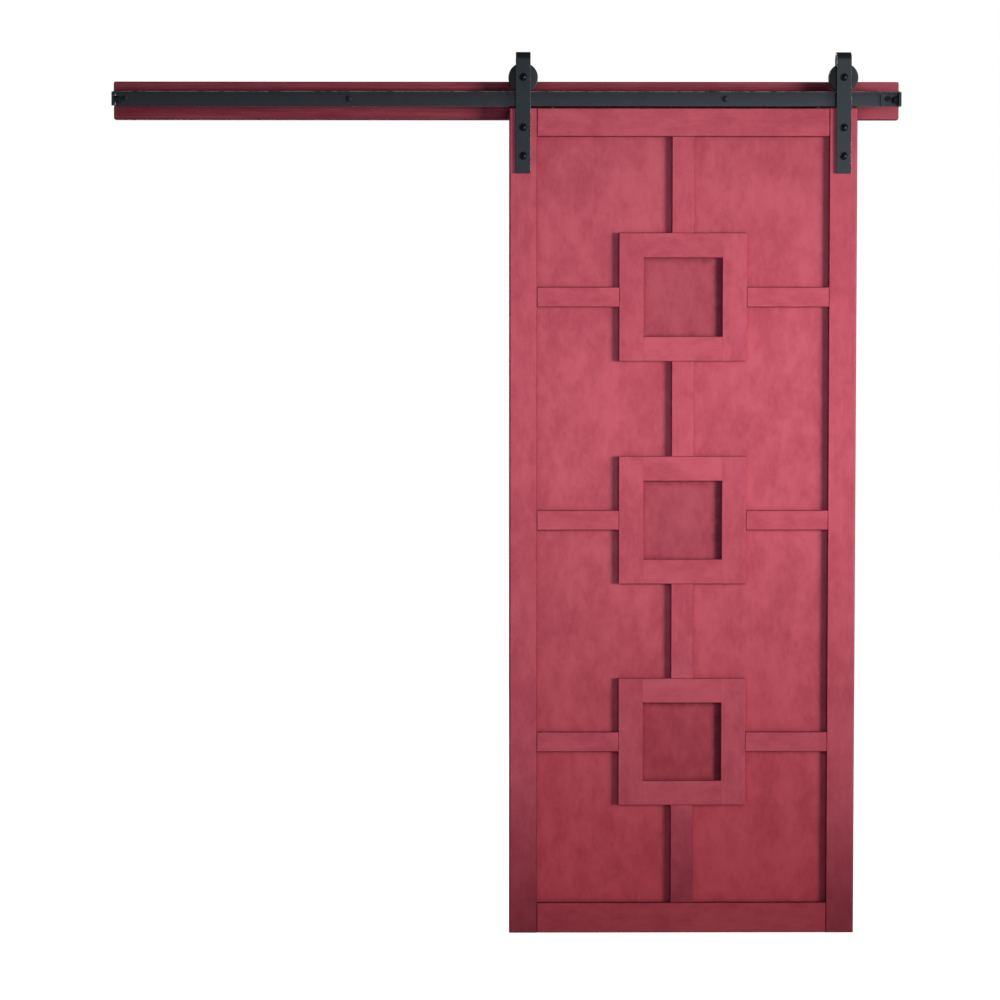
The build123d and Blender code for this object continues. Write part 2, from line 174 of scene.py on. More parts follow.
def draw_round(name: str, outline: Outline, segments: int = ROUND_SEGMENTS, ring: bool = False) -> Item:
    """Draws a round solid up the Z axis out of one circle, a step of its outline at a time.

    Args:
        name: the new piece's name.
        outline: (radius, height) pairs from the bottom; a ring's outline goes round its section.
        segments: how many sides the circle has.
        ring: True where the outline closes on itself, so that the piece has a bore.

    Returns:
        The new piece, along Z.
    """
    pick()
    radius, height = outline[0]
    bpy.ops.mesh.primitive_circle_add(
        vertices=segments, radius=radius, fill_type="NOTHING" if ring else "NGON", location=(0, 0, height)
    )
    piece = bpy.context.object
    piece.name = name
    bpy.ops.object.transform_apply(location=True, rotation=True, scale=True)
    bpy.ops.object.mode_set(mode="EDIT")
    bpy.ops.mesh.select_mode(type="EDGE" if ring else "FACE")
    bpy.ops.mesh.select_all(action="SELECT")
    extrude = bpy.ops.mesh.extrude_edges_move if ring else bpy.ops.mesh.extrude_region_move
    path = outline + outline[:1] if ring else outline
    for (radius, height), (next_radius, next_height) in zip(path, path[1:]):
        extrude(TRANSFORM_OT_translate={"value": (0, 0, next_height - height)})
        scale = next_radius / radius
        bpy.ops.transform.resize(value=(scale, scale, 1), center_override=(0, 0, next_height))
    bpy.ops.object.mode_set(mode="OBJECT")
    clean_up(piece)
    return piece


def dome(radius: float, foot: float, rise: float, steps: int = 8) -> Outline:
    """The outline of a shallow dome from its rim to its top.

    Args:
        radius: the rim's radius.
        foot: the rim's height.
        rise: how far the top stands above the rim; negative goes down.
        steps: how many steps the curve has.

    Returns:
        (radius, height) pairs from the rim, ending at the top.
    """
    turns = [QUARTER * n / steps for n in range(1, steps)]
    return [(radius * math.cos(turn), foot + rise * math.sin(turn)) for turn in turns] + [(0.0, foot + rise)]


def rounded_corner(radius: float, height: float, inward: float, up: float, steps: int = 4) -> Outline:
    """A quarter round between a round wall and a flat end.

    Args:
        radius: the wall's radius.
        height: the flat end's height.
        inward: how far the round reaches in from the wall.
        up: how far it reaches along the axis; its sign says from which side.
        steps: how many steps the curve has.

    Returns:
        (radius, height) pairs from the wall to the flat end.
    """
    turns = [QUARTER * n / steps for n in range(steps + 1)]
    return [(radius - inward * (1 - math.cos(turn)), height - up * (1 - math.sin(turn))) for turn in turns]


def place(piece: Item, axis: Axis, at: Vector) -> Item:
    """Turns a piece from Z to its own axis and moves it to its place, in its mesh.

    Args:
        piece: the piece, drawn along Z.
        axis: which way it points.
        at: where its origin goes.

    Returns:
        The same piece.
    """
    angle, about = axis.value
    piece.data.transform(Matrix.Translation(at) @ Matrix.Rotation(angle, 4, about))
    piece.data.update()
    return piece


def joined(name: str, pieces: Sequence[Item]) -> Item:
    """Joins pieces into one object.

    Args:
        name: the joined object's name.
        pieces: the pieces, which all go into the first.

    Returns:
        The joined object.
    """
    pick(*pieces)
    if len(pieces) > 1:
        bpy.ops.object.join()
    pieces[0].name = name
    return pieces[0]


def repeated(name: str, first: Item, shifts: Sequence[Vector]) -> Item:
    """Copies a piece to more places and joins them all.

    Args:
        name: the joined object's name.
        first: the piece, in its place.
        shifts: how far each copy is from the first piece.

    Returns:
        The joined object.
    """
    row = [first]
    for shift in shifts:
        pick(first)
        bpy.ops.object.duplicate(linked=False)
        row.append(bpy.context.object)
        row[-1].data.transform(Matrix.Translation(shift))
    return joined(name, row)


def thread_ridge(name: str, radius: float, pitch: float, start: float, turns: int) -> Item:
    """A screw thread's ridge: a small triangle wound up the Z axis.

    Args:
        name: the ridge's name.
        radius: the shank's radius under the ridge.
        pitch: how far one turn climbs.
        start: the height at which it begins.
        turns: how many turns it has.

    Returns:
        The ridge, closed at both ends.
    """
    depth = 0.32 * pitch
    out = 0.2 * depth
    pick()
    bpy.ops.mesh.primitive_circle_add(vertices=3, radius=depth, fill_type="NOTHING")
    ridge = bpy.context.object
    ridge.name = name
    upright = Matrix.Rotation(QUARTER, 4, "X") @ Matrix.Rotation(-QUARTER, 4, "Z")
    ridge.data.transform(Matrix.Translation((radius + out, 0, start)) @ upright)
    screw = ridge.modifiers.new("wind", "SCREW")
    screw.axis = "Z"
    screw.angle = 2 * math.pi
    screw.screw_offset = pitch
    screw.iterations = turns
    screw.steps = screw.render_steps = 24
    pick(ridge)
    bpy.ops.object.modifier_apply(modifier=screw.name)
    bpy.ops.object.mode_set(mode="EDIT")
    bpy.ops.mesh.select_all(action="SELECT")
    bpy.ops.mesh.remove_doubles(threshold=1e-7)
    bpy.ops.mesh.fill_holes(sides=4)
    bpy.ops.object.mode_set(mode="OBJECT")
    clean_up(ridge, doubles=1e-7)
    return ridge


def settle(piece: Item, body: str, finish: bpy.types.Material, node: str) -> None:
    """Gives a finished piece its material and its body.

    Args:
        piece: the finished piece.
        body: the body that it rides on.
        finish: its material.
        node: the CAD node that it stands for.
    """
    piece.data.materials.clear()
    piece.data.materials.append(finish)
    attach(piece, body)
    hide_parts(node)
    log.info("%s rides on %s, %d faces", piece.name, body, len(piece.data.polygons))


def paint_node(node: str, finish: bpy.types.Material) -> None:
    """Puts a material on every slot of a CAD node.

    Args:
        node: the node's name.
        finish: its material.
    """
    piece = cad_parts[node]
    if not piece.material_slots:
        piece.data.materials.append(finish)
    for slot in piece.material_slots:
        slot.material = finish
    log.info("%s dressed with %s", node, finish.name)


# Shader tools


class Sheet:
    """A node tree with short calls to add and link its nodes."""

    def __init__(self, tree: bpy.types.NodeTree) -> None:
        """Keeps the tree."""
        self.tree = tree

    def feed(self, node: Node, values: dict[str | int, object]) -> None:
        """Links or sets a node's inputs.

        Args:
            node: the node.
            values: a socket or a plain value for each input, by name or index.
        """
        for key, value in values.items():
            if isinstance(value, Socket):
                self.tree.links.new(value, node.inputs[key])
            else:
                node.inputs[key].default_value = value

    def add(self, kind: str, values: dict[str | int, object] | None = None, **settings: object) -> Node:
        """Adds a node.

        Args:
            kind: the node's type name.
            values: what its inputs are fed.
            settings: the node's own properties.

        Returns:
            The node.
        """
        node = self.tree.nodes.new(kind)
        for key, value in settings.items():
            setattr(node, key, value)
        self.feed(node, values or {})
        return node

    def math(self, operation: str, first: object, second: object = 0.0) -> Socket:
        """The result of a Math node on two numbers or sockets."""
        return self.add("ShaderNodeMath", {0: first, 1: second}, operation=operation).outputs[0]

    def times(self, first: object, second: object) -> Socket:
        """The product of two numbers or sockets."""
        return self.math("MULTIPLY", first, second)

    def part(self, vector: Socket, axis: str) -> Socket:
        """A vector's X, Y or Z."""
        return self.add("ShaderNodeSeparateXYZ", {0: vector}).outputs[axis]

    def vector(self, operation: str, first: Socket, second: object) -> Socket:
        """The result of a Vector Math node on two vectors."""
        return self.add("ShaderNodeVectorMath", {0: first, 1: second}, operation=operation).outputs[0]

    def mapped(self, vector: Socket, scale: Triple, turn: Triple = STILL, shift: Triple = STILL) -> Socket:
        """A vector scaled, turned and moved."""
        values = {"Vector": vector, "Location": shift, "Rotation": turn, "Scale": scale}
        return self.add("ShaderNodeMapping", values).outputs[0]

    def ease(self, value: Socket, low: float, high: float, ends: Span = (0.0, 1.0)) -> Socket:
        """A smooth step between two values of a socket, from one end's result to the other's."""
        values = {"Value": value, "From Min": low, "From Max": high, "To Min": ends[0], "To Max": ends[1]}
        return self.add("ShaderNodeMapRange", values, interpolation_type="SMOOTHSTEP").outputs["Result"]

    def spread(self, value: Socket, low: float, high: float) -> Socket:
        """A value between 0 and 1, spread evenly from low to high."""
        values = {"Value": value, "To Min": low, "To Max": high}
        return self.add("ShaderNodeMapRange", values).outputs["Result"]

    def noise(self, vector: Socket, scale: object, detail: float, roughness: float = 0.5) -> Socket:
        """Cloudy noise: its lumps in a metre, its finer layers and how strong those are."""
        values = {"Vector": vector, "Scale": scale, "Detail": detail, "Roughness": roughness}
        return self.add("ShaderNodeTexNoise", values).outputs[0]

    def blend(self, amount: object, first: object, second: object, kind: str = "MIX") -> Socket:
        """A mix of two colours, by the amount of the second that shows."""
        values = {0: amount, 6: first, 7: second}
        return self.add("ShaderNodeMix", values, data_type="RGBA", blend_type=kind).outputs[2]

    def layer(self, under: object, mask: Socket, share: object, over: object) -> Socket:
        """A colour laid over another through a mask, at a share of its strength."""
        return self.blend(self.times(mask, share), under, over)

    def tinted(self, shade: Socket, tint: object) -> Socket:
        """A colour multiplied by a tint."""
        return self.blend(1.0, shade, tint, "MULTIPLY")

    def bump(self, height: Socket, strength: float, depth: float) -> Socket:
        """The normal of a surface with a fine relief."""
        values = {"Height": height, "Strength": strength, "Distance": depth}
        return self.add("ShaderNodeBump", values).outputs[0]


def colour(red: float, green: float, blue: float) -> Colour:
    """A linear colour with full alpha."""
    return (red, green, blue, 1.0)


def emptied(owner: bpy.types.Material | bpy.types.World) -> Sheet:
    """The node tree of a material or a world, emptied."""
    owner.use_nodes = True
    owner.node_tree.nodes.clear()
    return Sheet(owner.node_tree)


def start_material(name: str) -> tuple[bpy.types.Material, Sheet, Node, Socket]:
    """A new material with its shader and the object's own coordinates.

    Args:
        name: the material's name.

    Returns:
        The material, its sheet, the shader node and the coordinates' socket.
    """
    material = bpy.data.materials.new(name)
    sheet = emptied(material)
    shader = sheet.add("ShaderNodeBsdfPrincipled")
    sheet.add("ShaderNodeOutputMaterial", {0: shader.outputs[0]})
    return material, sheet, shader, sheet.add("ShaderNodeTexCoord").outputs["Object"]


def new_group(name: str, inputs: dict[str, str], outputs: Sequence[str]) -> tuple[Sheet, dict[str, Socket]]:
    """Starts a shader node group with named sockets.

    Args:
        name: the group's name.
        inputs: socket types by name.
        outputs: the names of the numbers that it puts out.

    Returns:
        The group's sheet and the sockets of its input node by name.
    """
    tree = bpy.data.node_groups.new(name, "ShaderNodeTree")
    for label, kind in inputs.items():
        tree.interface.new_socket(label, in_out="INPUT", socket_type=kind)
    for label in outputs:
        tree.interface.new_socket(label, in_out="OUTPUT", socket_type="NodeSocketFloat")
    sheet = Sheet(tree)
    source = sheet.add("NodeGroupInput")
    return sheet, {label: source.outputs[label] for label in inputs}


def wood_group() -> bpy.types.NodeTree:
    """Stained wood seen along Z: grain streaks, pores, fine fleck and cloudy blotches of the stain.

    Returns:
        The group, which puts out Streak, Pore, Fleck, Blotch and Height.
    """
    labels = ("Streak", "Pore", "Fleck", "Blotch", "Height")
    sheet, given = new_group("stained wood", {"Vector": "NodeSocketVector"}, labels)
    wander = sheet.add("ShaderNodeTexNoise", {"Vector": given["Vector"], "Scale": 3.0, "Detail": 2.0})
    drift = sheet.vector("MULTIPLY", wander.outputs["Color"], (0.02, 0.02, 0.02))
    bent = sheet.vector("ADD", given["Vector"], drift)
    drawn = sheet.mapped(bent, (1.0, 1.0, 0.05))
    streaks = sheet.noise(drawn, 150.0, 5.0, 0.62)
    broad = sheet.noise(drawn, 32.0, 3.0, 0.55)
    streak = sheet.math("ADD", sheet.times(streaks, 0.6), sheet.times(broad, 0.4))
    pore = sheet.ease(sheet.noise(sheet.mapped(bent, (1.0, 1.0, 0.09)), 620.0, 2.0), 0.62, 0.74)
    fleck = sheet.noise(sheet.mapped(bent, (1.0, 1.0, 0.45)), 120.0, 5.0, 0.7)
    soft = sheet.mapped(given["Vector"], (1.0, 1.0, 0.6))
    clouds = [sheet.times(sheet.noise(soft, *figure, 0.6), 0.5) for figure in ((9.0, 5.0), (30.0, 4.0))]
    height = sheet.math("SUBTRACT", sheet.times(streaks, 0.5), sheet.times(pore, 0.6))
    found = (streak, pore, fleck, sheet.math("ADD", *clouds), height)
    sheet.add("NodeGroupOutput", dict(zip(labels, found)))
    return sheet.tree


def edge_group() -> bpy.types.NodeTree:
    """How near a point is to the edges of a box, seen from the front.

    Returns:
        The group, which puts out Rim, 1 at the edge and 0 further in, and Inside, 1 within the box.
    """
    inputs = dict.fromkeys(("Vector", "Low", "High"), "NodeSocketVector") | {"Width": "NodeSocketFloat"}
    sheet, given = new_group("board rim", inputs, ("Rim", "Inside"))
    wobble = sheet.noise(given["Vector"], 55.0, 3.0, 0.6)
    gaps = []
    for first, second in (("Vector", "Low"), ("High", "Vector")):
        gap = sheet.vector("SUBTRACT", given[first], given[second])
        gaps.append(sheet.math("MINIMUM", sheet.part(gap, "X"), sheet.part(gap, "Z")))
    nearest = sheet.math("MINIMUM", *gaps)
    ragged = sheet.math("ADD", sheet.math("DIVIDE", nearest, given["Width"]), sheet.times(wobble, 0.9))
    inside = sheet.math("GREATER_THAN", nearest, 0.0)
    sheet.add("NodeGroupOutput", {"Rim": sheet.ease(ragged, 0.35, 1.4, (1.0, 0.0)), "Inside": inside})
    return sheet.tree


def coat_group() -> bpy.types.NodeTree:
    """Powder coat: a fine orange peel, uneven sheen and a little settled dust.

    Returns:
        The group, which puts out Peel, Sheen and Dust.
    """
    inputs = {"Vector": "NodeSocketVector", "Fineness": "NodeSocketFloat"}
    sheet, given = new_group("powder coat", inputs, ("Peel", "Sheen", "Dust"))
    peel = sheet.noise(given["Vector"], given["Fineness"], 3.0, 0.6)
    sheen = sheet.noise(given["Vector"], 35.0, 4.0, 0.6)
    specks = sheet.ease(sheet.noise(given["Vector"], 700.0, 2.0, 0.7), 0.66, 0.8)
    dust = sheet.times(specks, sheet.ease(sheet.noise(given["Vector"], 12.0, 3.0), 0.4, 0.75))
    sheet.add("NodeGroupOutput", {"Peel": peel, "Sheen": sheen, "Dust": dust})
    return sheet.tree


class Groups:
    """The shared shader groups, each built once and placed in each material with its own values."""

    def __init__(self) -> None:
        """Builds the groups."""
        self.wood = wood_group()
        self.rim = edge_group()
        self.coat = coat_group()

    def grain(self, sheet: Sheet, where: Socket) -> Outputs:
        """What the wood group puts out in a material."""
        return sheet.add("ShaderNodeGroup", {"Vector": where}, node_tree=self.wood).outputs

    def framed(self, sheet: Sheet, where: Socket, block: Block, width: float) -> Outputs:
        """What the rim group puts out in a material for a box."""
        values = {"Vector": where, "Low": block.low, "High": block.high, "Width": width}
        return sheet.add("ShaderNodeGroup", values, node_tree=self.rim).outputs

    def marks(self, sheet: Sheet, where: Socket, fineness: float) -> Outputs:
        """What the coat group puts out in a material."""
        values = {"Vector": where, "Fineness": fineness}
        return sheet.add("ShaderNodeGroup", values, node_tree=self.coat).outputs


@dataclass(frozen=True)
class StainedWood:
    """A red stain on wood, with its grain and its blotches."""

    name: str
    plain: Colour
    deep: Colour
    pale: Colour
    contrast: float = 0.5
    streak_share: float = 0.2
    fleck_share: float = 0.3
    pore_share: float = 0.2
    board_share: float = 0.12
    cloud_span: Span = (0.36, 0.64)
    streak_span: Span = (0.34, 0.66)
    fleck_span: Span = (0.3, 0.7)
    # The dark stain of a board's rim, which also serves as the colour of the painted shade in crevices and
    # on faces turned from the front.
    edge: Colour = (0.26, 0.032, 0.048, 1.0)
    rim_width: float = 1.6 * MM
    rim_share: float = 0.85
    # Painted shade on chamfers and sides: how far a face turns from the front, and how much it darkens.
    side_shade_span: Span = (0.96, 0.80)
    side_shade_share: float = 0.5
    # Painted shade in corners and creases: how far the occlusion looks, how closed in a spot must be, and
    # how much it darkens.
    painted_shade_reach: float = 30.0 * MM
    painted_shade_span: Span = (0.02, 0.6)
    painted_shade_share: float = 0.0
    ends_darkened: bool = True
    foot: Colour | None = None
    foot_from: float = -1.6
    foot_down_to: float = -2.16
    # Painted light: where along X the board turns paler towards its right end, and how much.
    lit_end_span: Span = (0.86, 0.90)
    lit_end_share: float = 0.0
    # Painted shade inside the squares' recesses: the tint in the middle, the tint at the edges, and how far
    # in the edges reach.
    recess_shade: Colour = (0.80, 0.77, 0.80, 1.0)
    recess_rim_shade: Colour = (0.34, 0.26, 0.30, 1.0)
    recess_shade_width: float = 30.0 * MM
    stretch: float = 1.0
    gloss: float = 0.12
    rough_span: Span = (0.5, 0.72)
    relief: float = 0.12
    relief_depth: float = 0.4 * MM

    def build(
        self, groups: Groups, node: str, grain: Grain, seed: float, recesses: Sequence[Block] = ()
    ) -> bpy.types.Material:
        """The stain on one board.

        Args:
            groups: the shared shader groups.
            node: the board's node, whose box gives its edges.
            grain: which way the board's grain runs.
            seed: sets this board's own piece of wood.
            recesses: the framed areas that get painted shade, darkest towards their edges.

        Returns:
            The board's material.
        """
        material, sheet, shader, where = start_material(f"{self.name} {node}")
        level = grain is Grain.LEVEL
        turn = (0.0, QUARTER, 0.0) if level else STILL
        along = (1 / self.stretch, 1.0, 1.0) if level else (1.0, 1.0, 1 / self.stretch)
        wood = groups.grain(sheet, sheet.mapped(where, along, turn, (seed * 3.7, seed * 1.3, seed * 2.9)))
        block = Block.of(node)
        beyond = Vector((level, 0, not level)) * (not self.ends_darkened)
        rim = groups.framed(sheet, where, Block(block.low - beyond, block.high + beyond), self.rim_width)
        shade = sheet.layer(self.deep, sheet.ease(wood["Blotch"], *self.cloud_span), 1.0, self.pale)
        shade = sheet.blend(1.0 - self.contrast, shade, self.plain)
        streaks = sheet.ease(wood["Streak"], *self.streak_span)
        shade = sheet.layer(shade, streaks, self.streak_share, self.deep)
        shade = sheet.layer(shade, sheet.ease(wood["Fleck"], *self.fleck_span), self.fleck_share, self.pale)
        shade = sheet.layer(shade, wood["Pore"], self.pore_share, self.deep)
        tone = 0.5 + 0.5 * math.sin(seed * 12.9)
        shade = sheet.blend(self.board_share * tone, shade, self.deep)
        # Painted light: the board paler towards its right end, which stands clear of the leaf.
        if self.lit_end_share:
            end = sheet.ease(sheet.part(where, "X"), *self.lit_end_span)
            shade = sheet.layer(shade, end, self.lit_end_share, self.pale)
        # Darker towards the bottom of the leaf.
        if self.foot:
            low = sheet.ease(sheet.part(where, "Z"), self.foot_from, self.foot_down_to)
            shade = sheet.blend(low, shade, sheet.tinted(shade, self.foot))
        facing = sheet.part(sheet.add("ShaderNodeNewGeometry").outputs["True Normal"], "Y")
        # Painted shade: the front of each square's recess is darkened, most near its edges.
        for recess_shade in recesses:
            framed = groups.framed(sheet, where, recess_shade, self.recess_shade_width)
            tint = sheet.blend(framed["Rim"], self.recess_shade, self.recess_rim_shade)
            shaded_inside = sheet.times(framed["Inside"], sheet.math("LESS_THAN", facing, -0.5))
            shade = sheet.blend(shaded_inside, shade, sheet.tinted(shade, tint))
        # Painted shade: corners, creases and spots closed in by nearby parts, found by an ambient occlusion
        # node, are darkened towards the edge colour.
        if self.painted_shade_share:
            occlusion = sheet.add("ShaderNodeAmbientOcclusion", {"Distance": self.painted_shade_reach}, samples=8)
            closed_in_shade = sheet.ease(sheet.math("SUBTRACT", 1.0, occlusion.outputs["AO"]), *self.painted_shade_span)
            shade = sheet.layer(shade, closed_in_shade, self.painted_shade_share, self.edge)
        shade = sheet.layer(shade, rim["Rim"], self.rim_share, self.edge)
        # Painted shade: chamfers and sides, any face turned away from the front, darkened towards the edge
        # colour.
        side_shade = sheet.ease(sheet.math("ABSOLUTE", facing), *self.side_shade_span)
        shade = sheet.layer(shade, side_shade, self.side_shade_share, self.edge)
        rough = sheet.spread(wood["Streak"], *self.rough_span)
        relief = sheet.bump(wood["Height"], self.relief, self.relief_depth)
        sheet.feed(shader, {"Base Color": shade, "Roughness": rough, "Normal": relief})
        shader.inputs["Specular IOR Level"].default_value = self.gloss
        return material


@dataclass(frozen=True)
class PowderCoat:
    """A satin powder coat on steel."""

    name: str
    shade: Colour
    dusty: Colour
    roughness: float = 0.45
    gloss: float = 0.25
    fineness: float = 900.0
    peel: float = 0.12
    peel_depth: float = 0.1 * MM
    dust_share: float = 0.5
    # Painted highlight along a top edge: the height it starts at, how fast it fades in, how patchy it is and
    # its colour.
    highlight_above: float | None = None
    highlight_rise: float = 1.0 * MM
    highlight_span: Span = (0.3, 0.6)
    painted_highlight: Colour = (0.25, 0.15, 0.17, 1.0)
    tint: Colour = (0.80, 0.90, 1.0, 1.0)

    def build(self, groups: Groups) -> bpy.types.Material:
        """The coat's material.

        Args:
            groups: the shared shader groups.

        Returns:
            The material.
        """
        material, sheet, shader, where = start_material(self.name)
        coat = groups.marks(sheet, where, self.fineness)
        shade = sheet.layer(self.shade, coat["Dust"], self.dust_share, self.dusty)
        # Painted highlight: a pale pinkish line along the top edge above a given height, made patchy by the
        # sheen noise.
        if self.highlight_above is not None:
            near = sheet.ease(sheet.part(where, "Z"), self.highlight_above, self.highlight_above + self.highlight_rise)
            shade = sheet.layer(shade, near, sheet.ease(coat["Sheen"], *self.highlight_span), self.painted_highlight)
        rough = sheet.spread(coat["Sheen"], self.roughness - 0.08, self.roughness + 0.1)
        peel = sheet.bump(coat["Peel"], self.peel, self.peel_depth)
        sheet.feed(shader, {"Base Color": shade, "Roughness": rough, "Normal": peel})
        shader.inputs["Specular IOR Level"].default_value = self.gloss
        shader.inputs["Specular Tint"].default_value = self.tint
        return material


@dataclass(frozen=True)
class BareSteel:
    """Ground steel with fine marks."""

    name: str
    shade: Colour
    dulled: Colour
    roughness: float = 0.28
    fineness: float = 2400.0

    def build(self, groups: Groups) -> bpy.types.Material:
        """The steel's material.

        Args:
            groups: the shared shader groups.

        Returns:
            The material.
        """
        material, sheet, shader, where = start_material(self.name)
        coat = groups.marks(sheet, where, self.fineness)
        shader.inputs["Metallic"].default_value = 1.0
        shade = sheet.layer(self.shade, coat["Sheen"], 0.5, self.dulled)
        rough = sheet.spread(coat["Peel"], self.roughness - 0.08, self.roughness + 0.14)
        sheet.feed(shader, {"Base Color": shade, "Roughness": rough})
        return material


@dataclass(frozen=True)
class Rubber:
    """Moulded black rubber."""

    name: str
    shade: Colour
    bloom: Colour
    gloss: float = 0.12
    fineness: float = 1800.0
    rough_span: Span = (0.6, 0.85)
    relief: float = 0.2
    relief_depth: float = 0.1 * MM

    def build(self, groups: Groups) -> bpy.types.Material:
        """The rubber's material.

        Args:
            groups: the shared shader groups.

        Returns:
            The material.
        """
        material, sheet, shader, where = start_material(self.name)
        coat = groups.marks(sheet, where, self.fineness)
        shade = sheet.layer(self.shade, coat["Sheen"], 0.4, self.bloom)
        rough = sheet.spread(coat["Peel"], *self.rough_span)
        relief = sheet.bump(coat["Peel"], self.relief, self.relief_depth)
        sheet.feed(shader, {"Base Color": shade, "Roughness": rough, "Normal": relief})
        shader.inputs["Specular IOR Level"].default_value = self.gloss
        return material


PANEL_STAIN = StainedWood(
    "panel stain",
    colour(0.495, 0.079, 0.111),
    colour(0.385, 0.051, 0.076),
    colour(0.585, 0.108, 0.139),
    contrast=0.68,
    streak_share=0.1,
    painted_shade_share=0.35,
    foot=colour(1.0, 0.74, 0.74),
    foot_from=-1.1,
)
BOARD_STAIN = StainedWood(
    "board stain",
    colour(0.500, 0.079, 0.111),
    colour(0.385, 0.050, 0.075),
    colour(0.590, 0.105, 0.138),
    contrast=0.65,
    streak_share=0.3,
    edge=colour(0.14, 0.010, 0.018),
    rim_width=3.0 * MM,
    rim_share=0.9,
    foot=colour(0.58, 0.46, 0.48),
    foot_from=-1.7,
)
BATTEN_STAIN = replace(
    BOARD_STAIN, name="batten stain", rim_share=0.7, side_shade_share=0.15, ends_darkened=False
)
LEVEL_STAIN = replace(
    BOARD_STAIN, name="level board stain", plain=colour(0.510, 0.080, 0.112), foot=colour(0.86, 0.70, 0.68)
)
SQUARE_STAIN = StainedWood(
    "square stain",
    colour(0.485, 0.077, 0.108),
    colour(0.375, 0.049, 0.074),
    colour(0.570, 0.103, 0.135),
    contrast=0.7,
    streak_share=0.2,
    rim_width=1.4 * MM,
    rim_share=0.55,
    ends_darkened=False,
    foot=colour(0.95, 0.78, 0.78),
)
HEADER_STAIN = StainedWood(
    "header stain",
    colour(0.310, 0.051, 0.074),
    colour(0.175, 0.023, 0.037),
    colour(0.440, 0.078, 0.104),
    contrast=1.0,
    streak_share=0.9,
    edge=colour(0.11, 0.008, 0.020),
    rim_width=3.6 * MM,
    rim_share=0.85,
    painted_shade_reach=60.0 * MM,
    painted_shade_share=0.5,
    lit_end_share=0.95,
    stretch=5.0,
)
HANGER_COAT = PowderCoat(
    "hanger coat", colour(0.0105, 0.0138, 0.016), colour(0.08, 0.08, 0.08), roughness=0.26, gloss=1.0
)
RAIL_COAT = replace(HANGER_COAT, name="rail coat", highlight_above=17.0 * MM)
WHEEL_COAT = PowderCoat(
    "wheel coat",
    colour(0.021, 0.022, 0.023),
    colour(0.06, 0.06, 0.06),
    roughness=0.34,
    gloss=0.40,
    tint=colour(1, 1, 1),
)
LAG_COAT = PowderCoat(
    "lag bolt coat",
    colour(0.012, 0.014, 0.017),
    colour(0.05, 0.05, 0.05),
    roughness=0.55,
    gloss=0.38,
    peel=0.05,
)
FASTENER_COAT = PowderCoat(
    "fastener coat",
    colour(0.003, 0.0035, 0.005),
    colour(0.02, 0.02, 0.02),
    roughness=0.38,
    gloss=0.24,
    peel=0.05,
)
BEARING_STEEL = BareSteel("bearing steel", colour(0.60, 0.61, 0.62), colour(0.360, 0.366, 0.372))
BUMPER_RUBBER = Rubber("bumper rubber", colour(0.010, 0.010, 0.012), colour(0.020, 0.020, 0.020))


class Finishes:
    """The shader groups and the materials that more than one piece shares."""

    def __init__(self) -> None:
        """Builds each of them once."""
        self.groups = Groups()
        self.rail = RAIL_COAT.build(self.groups)
        self.hanger = HANGER_COAT.build(self.groups)
        self.wheel = WHEEL_COAT.build(self.groups)
        self.fastener = FASTENER_COAT.build(self.groups)
        self.lag = LAG_COAT.build(self.groups)
        self.bearing = BEARING_STEEL.build(self.groups)
        self.rubber = BUMPER_RUBBER.build(self.groups)


# The door's pieces


@dataclass
class Assembly:
    """A sub-assembly, with the finishes that dress it."""

    finishes: Finishes


@dataclass
class Leaf(Assembly):
    """The sliding leaf's core and face boards, which keep their CAD shapes."""

    squares: int = 3
    uprights: int = 4
    recess_shade_spread: float = 15.0 * MM

    def boards(self) -> list[tuple[str, Grain]]:
        """Every face board with its grain's direction."""
        found = [("left_stile", Grain.UPRIGHT), ("right_stile", Grain.UPRIGHT)]
        found += [("top_rail", Grain.LEVEL), ("bottom_rail", Grain.LEVEL)]
        found += [(f"upright_batten_{n}", Grain.UPRIGHT) for n in range(1, self.uprights + 1)]
        for n in range(1, self.squares + 1):
            found += [(f"square_{n}_{side}", Grain.UPRIGHT) for side in SIDES]
            found += [(f"square_{n}_{end}", Grain.LEVEL) for end in ("top", "bottom")]
            found += [(f"cross_batten_{n}_{side}", Grain.LEVEL) for side in SIDES]
        return found

    def recess_shade(self, n: int) -> Block:
        """The area of painted shade that a square's four boards frame, spread under all but the right one,
        so that it shows darkest along the right board.

        Args:
            n: the square's number.

        Returns:
            The area's box.
        """
        left, right = (Block.of(f"square_{n}_{side}") for side in SIDES)
        top, bottom = (Block.of(f"square_{n}_{end}") for end in ("top", "bottom"))
        core, spread = Block.of("core_panel"), self.recess_shade_spread
        return Block(
            Vector((left.high.x - spread, core.low.y, bottom.high.z - spread)),
            Vector((right.low.x, core.high.y, top.low.z + spread / 2)),
        )

    def dress(self) -> None:
        """Stains the core, with painted shade in its squares' recesses, and each board."""
        groups = self.finishes.groups
        recesses = [self.recess_shade(n) for n in range(1, self.squares + 1)]
        paint_node("core_panel", PANEL_STAIN.build(groups, "core_panel", Grain.UPRIGHT, 0.5, recesses))
        for seed, (node, grain) in enumerate(self.boards(), 1):
            stain = LEVEL_STAIN if grain is Grain.LEVEL else BOARD_STAIN
            stain = BATTEN_STAIN if "batten" in node else stain
            stain = SQUARE_STAIN if node.startswith("square") else stain
            paint_node(node, stain.build(groups, node, grain, seed * 0.77))


@dataclass
class Header(Assembly):
    """The header board on the wall, which keeps its CAD shape."""

    seed: float = 31.7

    def dress(self) -> None:
        """Stains the board."""
        stain = HEADER_STAIN.build(self.finishes.groups, "header_board", Grain.LEVEL, self.seed)
        paint_node("header_board", stain)


